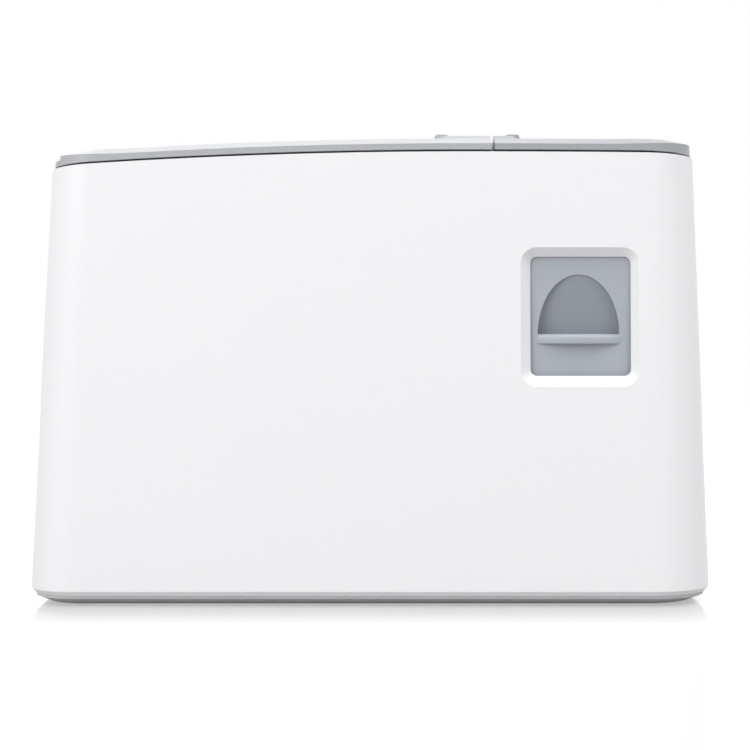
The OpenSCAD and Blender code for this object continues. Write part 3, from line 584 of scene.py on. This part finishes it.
def buildLever():
    spec = leverSpec
    low, high = (Vector(c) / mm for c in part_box("lever_left"))
    face = low.x + spec["ledgeReach"]
    top, bottom = high.z, windowSpec["middleZ"] - windowSpec["height"] / 2 - 6
    ledgeTop = windowSpec["middleZ"] - 5.3
    lever = addBlock("leverTile", (face, low.y, bottom), (face + spec["tile"], high.y, top))
    # hollow for the fingertip, an arch whose back slopes in towards the ledge
    scoop = addRod("scoop", spec["scoopHalf"], (face - 6, windowY, ledgeTop),
                   (face + 6, windowY, ledgeTop), 128)
    choose(scoop, "VERT", lambda p: True)
    resize(1, 1, spec["scoopTop"] / spec["scoopHalf"], (face, windowY, ledgeTop))
    doneEditing()
    back = addBlock("scoopBack", (face - 6, windowY - 20, ledgeTop),
                    (face + spec["scoopDepth"], windowY + 20, ledgeTop + spec["scoopTop"] + 1))
    choose(back, "VERT", lambda p: p.x > face and p.z > ledgeTop + 5)
    move(x=spec["scoopShallow"] - spec["scoopDepth"])
    doneEditing()
    combine(scoop, back, "INTERSECT")
    cutAway(lever, scoop)
    bow = spec["ledgeHalf"] ** 2 / (2 * spec["ledgeReach"]) + spec["ledgeReach"] / 2
    ledge = addRod("ledge", bow, (low.x + bow, windowY, ledgeTop - spec["ledge"]),
                   (low.x + bow, windowY, ledgeTop), 256)
    rim = lambda z, a, b: near(a.z, z) and near(b.z, z)
    bevelEdges(ledge, lambda a, b: rim(ledgeTop, a, b), spec["ledgeRound"], 6)
    bevelEdges(ledge, lambda a, b: rim(ledgeTop - spec["ledge"], a, b), 0.6, 4)
    keep = addBlock("ledgeKeep", (low.x - 2, windowY - spec["ledgeHalf"], 0),
                    (face + spec["scoopDepth"] + 0.2, windowY + spec["ledgeHalf"], 200))
    combine(ledge, keep, "INTERSECT")
    mergeIn(lever, ledge)
    mergeIn(lever, addBlock("leverStem", (face + spec["tile"] - 0.5, windowY - 5, low.z),
                            (face + spec["tile"] + 3.5, windowY + 5, bottom + 12)))
    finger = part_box("latch_left")[1][0] / mm
    arm = addBlock("leverArm", (face + spec["tile"] - 0.5, windowY, 92.3),
                   (finger - 0.3, windowY + 17, 96.3))
    cutAway(arm, addBlock("armGap", (face + spec["tile"] + 3, windowY - 1, 90),
                          (finger + 9, windowY + 14, 99)))
    mergeIn(lever, arm)
    softenEdges(lever, spec["edgeRound"], 3, 40)
    return lever


def buildButton(name, x):
    spec = buttonSpec
    top = roofAt(spec["y"]) + 0.2
    key = addRod(name, spec["radius"], (x, spec["y"], caseSpec["seamTop"] - 6), (x, spec["y"], top), 96)
    choose(key, "FACE", lambda c, n: n.z > 0.9)
    bpy.ops.mesh.inset(thickness=1.4 * mm, depth=0)
    bpy.ops.mesh.inset(thickness=1.2 * mm, depth=-0.25 * mm)
    doneEditing()
    mergeIn(key, addRod("keyStem", 2, (x, spec["y"], caseSpec["seamTop"] - 9),
                        (x, spec["y"], caseSpec["seamTop"] - 5), 32))
    softenEdges(key, 0.35, 4, 20)
    return key


# materials

def link(tree, a, b):
    tree.links.new(a, b)


def grainGroup():
    # fine moulded grain: slow drift of colour and roughness, with a small bump
    group = bpy.data.node_groups.new("mouldedGrain", "ShaderNodeTree")
    face = group.interface
    for label, kind, value in (("Vector", "NodeSocketVector", None), ("Colour", "NodeSocketColor", None),
                               ("Shade", "NodeSocketColor", None), ("Grain Scale", "NodeSocketFloat", 900),
                               ("Drift", "NodeSocketFloat", 0.5), ("Rough", "NodeSocketFloat", 0.5),
                               ("Depth", "NodeSocketFloat", 0.1)):
        socket = face.new_socket(name=label, in_out="INPUT", socket_type=kind)
        if value is not None:
            socket.default_value = value
    face.new_socket(name="Colour", in_out="OUTPUT", socket_type="NodeSocketColor")
    face.new_socket(name="Roughness", in_out="OUTPUT", socket_type="NodeSocketFloat")
    face.new_socket(name="Normal", in_out="OUTPUT", socket_type="NodeSocketVector")
    nodes = group.nodes
    start = nodes.new("NodeGroupInput")
    end = nodes.new("NodeGroupOutput")
    broad = nodes.new("ShaderNodeTexNoise")
    broad.inputs["Scale"].default_value = 22
    broad.inputs["Detail"].default_value = 5
    fine = nodes.new("ShaderNodeTexNoise")
    fine.inputs["Detail"].default_value = 3
    pits = nodes.new("ShaderNodeTexVoronoi")
    pits.feature = "SMOOTH_F1"
    amount = nodes.new("ShaderNodeMath")
    amount.operation = "MULTIPLY"
    mix = nodes.new("ShaderNodeMix")
    mix.data_type = "RGBA"
    rough = nodes.new("ShaderNodeMath")
    rough.operation = "MULTIPLY_ADD"
    rough.inputs[1].default_value = 0.12
    height = nodes.new("ShaderNodeMath")
    height.operation = "ADD"
    bump = nodes.new("ShaderNodeBump")
    bump.inputs["Distance"].default_value = 0.0002
    link(group, start.outputs["Vector"], broad.inputs["Vector"])
    link(group, start.outputs["Vector"], fine.inputs["Vector"])
    link(group, start.outputs["Vector"], pits.inputs["Vector"])
    link(group, start.outputs["Grain Scale"], fine.inputs["Scale"])
    link(group, start.outputs["Grain Scale"], pits.inputs["Scale"])
    link(group, broad.outputs["Fac"], amount.inputs[0])
    link(group, start.outputs["Drift"], amount.inputs[1])
    link(group, amount.outputs[0], mix.inputs["Factor"])
    link(group, start.outputs["Colour"], mix.inputs["A"])
    link(group, start.outputs["Shade"], mix.inputs["B"])
    link(group, mix.outputs["Result"], end.inputs["Colour"])
    link(group, fine.outputs["Fac"], rough.inputs[0])
    link(group, start.outputs["Rough"], rough.inputs[2])
    link(group, rough.outputs[0], end.inputs["Roughness"])
    link(group, fine.outputs["Fac"], height.inputs[0])
    link(group, pits.outputs["Distance"], height.inputs[1])
    link(group, height.outputs[0], bump.inputs["Height"])
    link(group, start.outputs["Depth"], bump.inputs["Strength"])
    link(group, bump.outputs["Normal"], end.inputs["Normal"])
    return group


def brushGroup():
    # brushed or rolled metal: long fine streaks along one axis
    group = bpy.data.node_groups.new("rolledStreaks", "ShaderNodeTree")
    face = group.interface
    face.new_socket(name="Vector", in_out="INPUT", socket_type="NodeSocketVector")
    for label, value in (("Rough", 0.3), ("Depth", 0.1)):
        face.new_socket(name=label, in_out="INPUT", socket_type="NodeSocketFloat").default_value = value
    face.new_socket(name="Colour", in_out="INPUT", socket_type="NodeSocketColor")
    face.new_socket(name="Shade", in_out="INPUT", socket_type="NodeSocketColor")
    face.new_socket(name="Colour", in_out="OUTPUT", socket_type="NodeSocketColor")
    face.new_socket(name="Roughness", in_out="OUTPUT", socket_type="NodeSocketFloat")
    face.new_socket(name="Normal", in_out="OUTPUT", socket_type="NodeSocketVector")
    nodes = group.nodes
    start = nodes.new("NodeGroupInput")
    end = nodes.new("NodeGroupOutput")
    streaks = nodes.new("ShaderNodeTexNoise")
    streaks.inputs["Scale"].default_value = 1.0
    streaks.inputs["Detail"].default_value = 4
    clouds = nodes.new("ShaderNodeTexNoise")
    clouds.inputs["Scale"].default_value = 60
    clouds.inputs["Detail"].default_value = 6
    mix = nodes.new("ShaderNodeMix")
    mix.data_type = "RGBA"
    rough = nodes.new("ShaderNodeMath")
    rough.operation = "MULTIPLY_ADD"
    rough.inputs[1].default_value = 0.2
    bump = nodes.new("ShaderNodeBump")
    bump.inputs["Distance"].default_value = 0.0001
    scale = nodes.new("ShaderNodeMapping")
    scale.inputs["Scale"].default_value = (3000, 40, 3000)
    link(group, start.outputs["Vector"], scale.inputs["Vector"])
    link(group, scale.outputs["Vector"], streaks.inputs["Vector"])
    link(group, start.outputs["Vector"], clouds.inputs["Vector"])
    link(group, clouds.outputs["Fac"], mix.inputs["Factor"])
    link(group, start.outputs["Colour"], mix.inputs["A"])
    link(group, start.outputs["Shade"], mix.inputs["B"])
    link(group, mix.outputs["Result"], end.inputs["Colour"])
    link(group, streaks.outputs["Fac"], rough.inputs[0])
    link(group, start.outputs["Rough"], rough.inputs[2])
    link(group, rough.outputs[0], end.inputs["Roughness"])
    link(group, streaks.outputs["Fac"], bump.inputs["Height"])
    link(group, start.outputs["Depth"], bump.inputs["Strength"])
    link(group, bump.outputs["Normal"], end.inputs["Normal"])
    return group


def newFinish(name):
    finish = bpy.data.materials.new(name)
    finish.use_nodes = True
    tree = finish.node_tree
    shader = tree.nodes["Principled BSDF"]
    place = tree.nodes.new("ShaderNodeTexCoord")
    return finish, tree, shader, place


def tone(r, g, b):
    return (r, g, b, 1.0)


def mouldedFinish(name, colour, shade, rough, grain=900, depth=0.1, drift=0.5, coat=0.0, ior=1.46):
    finish, tree, shader, place = newFinish(name)
    part = tree.nodes.new("ShaderNodeGroup")
    part.node_tree = mouldedGrain
    part.inputs["Colour"].default_value = tone(*colour)
    part.inputs["Shade"].default_value = tone(*shade)
    part.inputs["Grain Scale"].default_value = grain
    part.inputs["Drift"].default_value = drift
    part.inputs["Rough"].default_value = rough - 0.06
    part.inputs["Depth"].default_value = depth
    link(tree, place.outputs["Object"], part.inputs["Vector"])
    link(tree, part.outputs["Colour"], shader.inputs["Base Color"])
    link(tree, part.outputs["Roughness"], shader.inputs["Roughness"])
    link(tree, part.outputs["Normal"], shader.inputs["Normal"])
    shader.inputs["IOR"].default_value = ior
    shader.inputs["Coat Weight"].default_value = coat
    shader.inputs["Coat Roughness"].default_value = 0.2
    return finish


def metalFinish(name, colour, shade, rough, depth=0.08):
    finish, tree, shader, place = newFinish(name)
    part = tree.nodes.new("ShaderNodeGroup")
    part.node_tree = rolledStreaks
    part.inputs["Colour"].default_value = tone(*colour)
    part.inputs["Shade"].default_value = tone(*shade)
    part.inputs["Rough"].default_value = rough - 0.1
    part.inputs["Depth"].default_value = depth
    link(tree, place.outputs["Object"], part.inputs["Vector"])
    link(tree, part.outputs["Colour"], shader.inputs["Base Color"])
    link(tree, part.outputs["Roughness"], shader.inputs["Roughness"])
    link(tree, part.outputs["Normal"], shader.inputs["Normal"])
    shader.inputs["Metallic"].default_value = 1.0
    return finish


def paperFinish():
    # wound layers show as fine rings on the roll's ends, and fibres on its face
    finish, tree, shader, place = newFinish("paperRoll")
    low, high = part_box("label_roll")
    nodes = tree.nodes
    centre = nodes.new("ShaderNodeMapping")
    centre.vector_type = "POINT"
    centre.inputs["Location"].default_value = (0, -(low[1] + high[1]) / 2, -(low[2] + high[2]) / 2)
    apart = nodes.new("ShaderNodeSeparateXYZ")
    flat = nodes.new("ShaderNodeCombineXYZ")
    radius = nodes.new("ShaderNodeVectorMath")
    radius.operation = "LENGTH"
    rings = nodes.new("ShaderNodeMath")
    rings.operation = "MULTIPLY"
    rings.inputs[1].default_value = 5200
    wave = nodes.new("ShaderNodeMath")
    wave.operation = "SINE"
    fibres = nodes.new("ShaderNodeTexNoise")
    fibres.inputs["Scale"].default_value = 400
    fibres.inputs["Detail"].default_value = 8
    mixed = nodes.new("ShaderNodeMath")
    mixed.operation = "ADD"
    ramp = nodes.new("ShaderNodeMapRange")
    ramp.inputs["From Min"].default_value = -0.7
    ramp.inputs["From Max"].default_value = 1.6
    mix = nodes.new("ShaderNodeMix")
    mix.data_type = "RGBA"
    mix.inputs["A"].default_value = tone(0.66, 0.64, 0.58)
    mix.inputs["B"].default_value = tone(0.86, 0.85, 0.81)
    bump = nodes.new("ShaderNodeBump")
    bump.inputs["Strength"].default_value = 0.25
    bump.inputs["Distance"].default_value = 0.0002
    link(tree, place.outputs["Object"], centre.inputs["Vector"])
    link(tree, centre.outputs["Vector"], apart.inputs[0])
    link(tree, apart.outputs["Y"], flat.inputs["Y"])
    link(tree, apart.outputs["Z"], flat.inputs["Z"])
    link(tree, flat.outputs[0], radius.inputs[0])
    link(tree, radius.outputs["Value"], rings.inputs[0])
    link(tree, rings.outputs[0], wave.inputs[0])
    link(tree, place.outputs["Object"], fibres.inputs["Vector"])
    link(tree, wave.outputs[0], mixed.inputs[0])
    link(tree, fibres.outputs["Fac"], mixed.inputs[1])
    link(tree, mixed.outputs[0], ramp.inputs["Value"])
    link(tree, ramp.outputs["Result"], mix.inputs["Factor"])
    link(tree, mix.outputs["Result"], shader.inputs["Base Color"])
    link(tree, mixed.outputs[0], bump.inputs["Height"])
    link(tree, bump.outputs["Normal"], shader.inputs["Normal"])
    shader.inputs["Roughness"].default_value = 0.8
    return finish


def boardFinish():
    # green solder mask with a hint of copper tracks under it
    finish, tree, shader, place = newFinish("circuitBoard")
    nodes = tree.nodes
    tracks = nodes.new("ShaderNodeTexBrick")
    tracks.inputs["Scale"].default_value = 160
    tracks.inputs["Mortar Size"].default_value = 0.06
    tracks.inputs["Color1"].default_value = tone(0.012, 0.10, 0.045)
    tracks.inputs["Color2"].default_value = tone(0.014, 0.12, 0.05)
    tracks.inputs["Mortar"].default_value = tone(0.03, 0.2, 0.09)
    pads = nodes.new("ShaderNodeTexVoronoi")
    pads.inputs["Scale"].default_value = 420
    spot = nodes.new("ShaderNodeMath")
    spot.operation = "LESS_THAN"
    spot.inputs[1].default_value = 0.17
    mix = nodes.new("ShaderNodeMix")
    mix.data_type = "RGBA"
    mix.inputs["B"].default_value = tone(0.62, 0.6, 0.52)
    bump = nodes.new("ShaderNodeBump")
    bump.inputs["Strength"].default_value = 0.3
    bump.inputs["Distance"].default_value = 0.0002
    link(tree, place.outputs["Object"], tracks.inputs["Vector"])
    link(tree, place.outputs["Object"], pads.inputs["Vector"])
    link(tree, pads.outputs["Distance"], spot.inputs[0])
    link(tree, spot.outputs[0], mix.inputs["Factor"])
    link(tree, tracks.outputs["Color"], mix.inputs["A"])
    link(tree, mix.outputs["Result"], shader.inputs["Base Color"])
    link(tree, tracks.outputs["Fac"], bump.inputs["Height"])
    link(tree, bump.outputs["Normal"], shader.inputs["Normal"])
    shader.inputs["Roughness"].default_value = 0.35
    return finish


def leverFinishWithScoopShade():
    # moulded grey, with painted shade: the base colour is darker inside the finger hollow
    finish = mouldedFinish("leverGrey", (0.45, 0.48, 0.52), (0.42, 0.45, 0.49), 0.46, 1600, 0.06, 0.4)
    tree = finish.node_tree
    shader = tree.nodes["Principled BSDF"]
    part = next(n for n in tree.nodes if n.type == "GROUP")
    place = next(n for n in tree.nodes if n.type == "TEX_COORD")
    # painted shade: this mask picks the finger hollow behind the tile face, where the base colour is
    # darkened
    apart = tree.nodes.new("ShaderNodeSeparateXYZ")
    side = tree.nodes.new("ShaderNodeMath")
    side.operation = "ABSOLUTE"
    inside = tree.nodes.new("ShaderNodeMapRange")
    face = -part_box("lever_left")[0][0] - leverSpec["ledgeReach"] * mm
    inside.inputs["From Min"].default_value = face - 0.0001
    inside.inputs["From Max"].default_value = face - 0.0005
    mix = tree.nodes.new("ShaderNodeMix")
    mix.data_type = "RGBA"
    # painted shade colour for the inside of the finger hollow
    mix.inputs["B"].default_value = tone(0.325, 0.35, 0.385)
    link(tree, place.outputs["Object"], apart.inputs[0])
    link(tree, apart.outputs["X"], side.inputs[0])
    link(tree, side.outputs[0], inside.inputs["Value"])
    link(tree, inside.outputs["Result"], mix.inputs["Factor"])
    link(tree, part.outputs["Colour"], mix.inputs["A"])
    link(tree, mix.outputs["Result"], shader.inputs["Base Color"])
    return finish


def wear(piece, finish):
    piece.data.materials.clear()
    piece.data.materials.append(finish)


mouldedGrain = grainGroup()
rolledStreaks = brushGroup()
finishes = {
    "case_white": mouldedFinish("caseWhite", (0.93, 0.93, 0.945),
                                (0.90, 0.90, 0.92), 0.42, 1500, 0.05, 0.4, 0.08),
    "cover_grey": mouldedFinish("coverGrey", (0.455, 0.465, 0.485),
                                (0.425, 0.435, 0.455), 0.40, 1500, 0.08, 0.5, 0.15),
    "front_grey": mouldedFinish("frontGrey", (0.375, 0.387, 0.41),
                                (0.35, 0.362, 0.385), 0.40, 1500, 0.08, 0.5, 0.15),
    "base_grey": mouldedFinish("trayGrey", (0.64, 0.642, 0.655), (0.60, 0.602, 0.615), 0.5, 1200, 0.12),
    "lever_grey": leverFinishWithScoopShade(),
    "dark_plastic": mouldedFinish("darkPlastic", (0.045, 0.046, 0.05),
                                  (0.06, 0.061, 0.065), 0.5, 1000, 0.2),
    "button_grey": mouldedFinish("buttonGrey", (0.60, 0.615, 0.64),
                                 (0.56, 0.575, 0.60), 0.38, 1800, 0.04, 0.4),
    "rubber_black": mouldedFinish("softRubber", (0.016, 0.016, 0.017),
                                  (0.028, 0.028, 0.029), 0.72, 700, 0.35),
    "motor_black": mouldedFinish("motorPaint", (0.02, 0.02, 0.022),
                                 (0.035, 0.035, 0.037), 0.35, 500, 0.25, 0.5, 0.3),
    "nylon": mouldedFinish("milkyNylon", (0.80, 0.79, 0.74), (0.74, 0.73, 0.67), 0.4, 900, 0.08),
    "cable_white": mouldedFinish("flatCable", (0.72, 0.72, 0.70), (0.62, 0.63, 0.63), 0.45, 600, 0.2),
    "light_lens": mouldedFinish("clearLens", (0.10, 0.62, 0.22),
                                (0.08, 0.52, 0.18), 0.2, 400, 0.03, 0.3, 0.6),
    "ceramic_head": mouldedFinish("glazedCeramic", (0.36, 0.33, 0.28),
                                  (0.30, 0.27, 0.23), 0.22, 700, 0.04, 0.5, 0.5),
    "steel": metalFinish("zincSteel", (0.60, 0.60, 0.61), (0.52, 0.53, 0.55), 0.34),
    "aluminium": metalFinish("castAluminium", (0.78, 0.79, 0.80), (0.68, 0.69, 0.70), 0.42, 0.15),
    "brass": metalFinish("turnedBrass", (0.80, 0.60, 0.30), (0.70, 0.50, 0.24), 0.28),
    "board_green": boardFinish(),
    "paper_white": paperFinish(),
}
print("materials ready")

pieces = {
    "caseShell": (buildCase(), "chassis", "outer_case", "case_white"),
    "rollCoverShell": (buildRollCover(), "cover", "roll_cover", "cover_grey"),
    "frontCoverShell": (buildFrontCover(), "chassis", "front_cover", "front_grey"),
    "trayShell": (buildTray(), "chassis", "base_tray", "base_grey"),
}
print("shells ready")
leverTile = buildLever()
pieces["leverTile"] = (leverTile, "lever_left", "lever_left", "lever_grey")
pieces["leverTileRight"] = (mirrored(leverTile, "leverTileRight"), "lever_right", "lever_right",
                            "lever_grey")
pieces["powerKey"] = (buildButton("powerKey", -buttonSpec["x"]), "power_key", "power_button", "button_grey")
pieces["feedKey"] = (buildButton("feedKey", buttonSpec["x"]), "feed_key", "feed_button", "button_grey")
print("levers and buttons ready")

for piece, body, node, slotName in pieces.values():
    wear(piece, finishes[slotName])
    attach(piece, body)
    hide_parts(node)

for part in frame["record"]["subparts"]:
    node = frame["nodes"][part["node"]]
    if not node.material_slots:
        node.data.materials.append(finishes[part["material_slot"]])
    for place in node.material_slots:
        place.material = finishes[part["material_slot"]]
print("internal parts finished")

# room: pale floor, soft lamps, white surroundings

roomSpec = {
    "floorSize": 6.0, "glow": 0.40, "floorTone": 0.38, "floorRough": 0.09, "floorIor": 1.45,
    "surround": 0.57,
    "lamps": (("key", (-1.5, 1.3, 1.1), 1.4, 20.0), ("side", (-1.4, -0.9, 0.5), 1.2, 0.6),
              ("top", (-0.4, -0.6, 1.8), 1.6, 25.0), ("back", (1.6, 0.4, 0.9), 1.4, 6.0)),
    "target": (0, 0, 0.07),
}

dropSelection()
bpy.ops.mesh.primitive_plane_add(size=roomSpec["floorSize"], location=(0, 0, 0))
floor = settle(bpy.context.object, "floorPlane")
floorFinish, floorTree, floorShader, floorPlace = newFinish("floorWhite")
ray = floorTree.nodes.new("ShaderNodeLightPath")
glow = floorTree.nodes.new("ShaderNodeMath")
glow.operation = "MAXIMUM"
strength = floorTree.nodes.new("ShaderNodeMath")
strength.operation = "MULTIPLY"
strength.inputs[1].default_value = roomSpec["glow"]
link(floorTree, ray.outputs["Is Camera Ray"], glow.inputs[0])
link(floorTree, ray.outputs["Is Glossy Ray"], glow.inputs[1])
through = floorTree.nodes.new("ShaderNodeMath")
through.operation = "MAXIMUM"
link(floorTree, glow.outputs[0], through.inputs[0])
link(floorTree, ray.outputs["Is Transmission Ray"], through.inputs[1])
link(floorTree, through.outputs[0], strength.inputs[0])
link(floorTree, strength.outputs[0], floorShader.inputs["Emission Strength"])
floorShader.inputs["Emission Color"].default_value = tone(1, 1, 1)
floorShader.inputs["Base Color"].default_value = tone(*[roomSpec["floorTone"]] * 3)
floorShader.inputs["Roughness"].default_value = roomSpec["floorRough"]
floorShader.inputs["IOR"].default_value = roomSpec["floorIor"]
wear(floor, floorFinish)

world = bpy.data.worlds.new("softStudio")
bpy.context.scene.world = world
world.use_nodes = True
sky = world.node_tree
back = sky.nodes["Background"]
seen = sky.nodes.new("ShaderNodeLightPath")
either = sky.nodes.new("ShaderNodeMath")
either.operation = "MAXIMUM"
anyRay = sky.nodes.new("ShaderNodeMath")
anyRay.operation = "MAXIMUM"
level = sky.nodes.new("ShaderNodeMapRange")
level.inputs["To Min"].default_value = roomSpec["surround"]
level.inputs["To Max"].default_value = 1.0
link(sky, seen.outputs["Is Camera Ray"], either.inputs[0])
link(sky, seen.outputs["Is Glossy Ray"], either.inputs[1])
link(sky, either.outputs[0], anyRay.inputs[0])
link(sky, seen.outputs["Is Transmission Ray"], anyRay.inputs[1])
link(sky, anyRay.outputs[0], level.inputs["Value"])
link(sky, level.outputs["Result"], back.inputs["Strength"])
back.inputs["Color"].default_value = tone(1, 1, 1)

for name, place, size, power in roomSpec["lamps"]:
    dropSelection()
    bpy.ops.object.light_add(type="AREA", location=place)
    lamp = bpy.context.object
    lamp.name = name + "Lamp"
    lamp.data.shape = "SQUARE"
    lamp.data.size = size
    lamp.data.energy = power
    lamp.rotation_euler = (Vector(roomSpec["target"]) - Vector(place)).to_track_quat("-Z", "Y").to_euler()

# camera level with the middle of the side

cameraSpec = {"place": (-0.585, -0.0012, 0.07215), "turn": (90, 0, -90), "lens": 77.3, "sensor": 36.0}
dropSelection()
bpy.ops.object.camera_add(location=cameraSpec["place"],
                          rotation=[math.radians(a) for a in cameraSpec["turn"]])
camera = bpy.context.object
camera.name = "sideCamera"
camera.data.lens = cameraSpec["lens"]
camera.data.sensor_width = cameraSpec["sensor"]
camera.data.clip_start = 0.01
bpy.context.scene.camera = camera
bpy.context.scene.view_settings.view_transform = "Standard"
print("room and camera ready")
